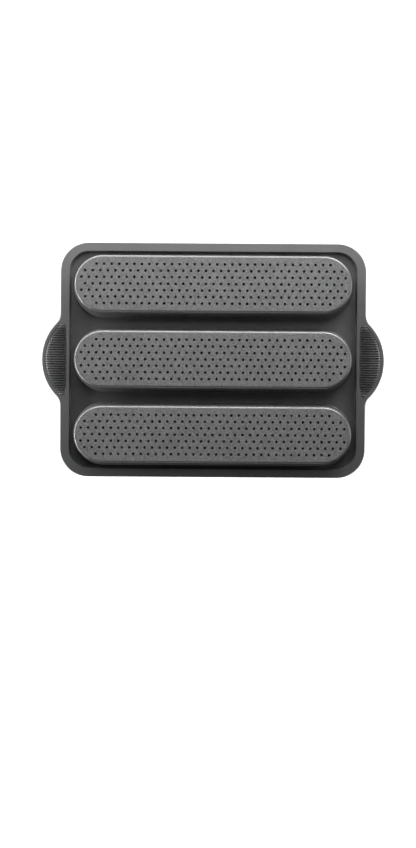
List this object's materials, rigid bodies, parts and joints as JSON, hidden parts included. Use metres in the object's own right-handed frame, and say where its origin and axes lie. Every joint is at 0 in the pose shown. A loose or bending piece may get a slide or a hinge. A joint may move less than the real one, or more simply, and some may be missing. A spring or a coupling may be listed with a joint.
{
  "type": "baguette tray",
  "caption": "Flexible silicone baking tray with long pill-shaped perforated troughs, a thick wire-stiffened rim and a ribbed ear handle at each short end.",
  "frame": {"origin": "middle of the flat mouth face, which lies on z = 0: the tray lies mouth down, as it is stored, dried and turned out", "axes": "+X along the troughs, +Y across them towards the back trough, +Z out of the perforated trough floors. In use the tray is turned over about X, so that the floors rest on the oven rack and the mouths face up"},
  "size_m": [0.36, 0.246, 0.03],
  "materials": {
    "silicone_smooth": "dark grey food silicone, satin",
    "silicone_frosted": "dark grey food silicone, fine sand-blasted grain",
    "steel_wire": "drawn spring steel wire"
  },
  "bodies": {
    "root": {"deck": "silicone_smooth", "rim_band": "silicone_smooth", "rim_wire": "steel_wire", "trough_wall_front": "silicone_smooth", "trough_wall_middle": "silicone_smooth", "trough_wall_back": "silicone_smooth", "trough_floor_front": "silicone_frosted", "trough_floor_middle": "silicone_frosted", "trough_floor_back": "silicone_frosted", "handle_left": "silicone_smooth", "handle_right": "silicone_smooth"}
  },
  "joints": []
}
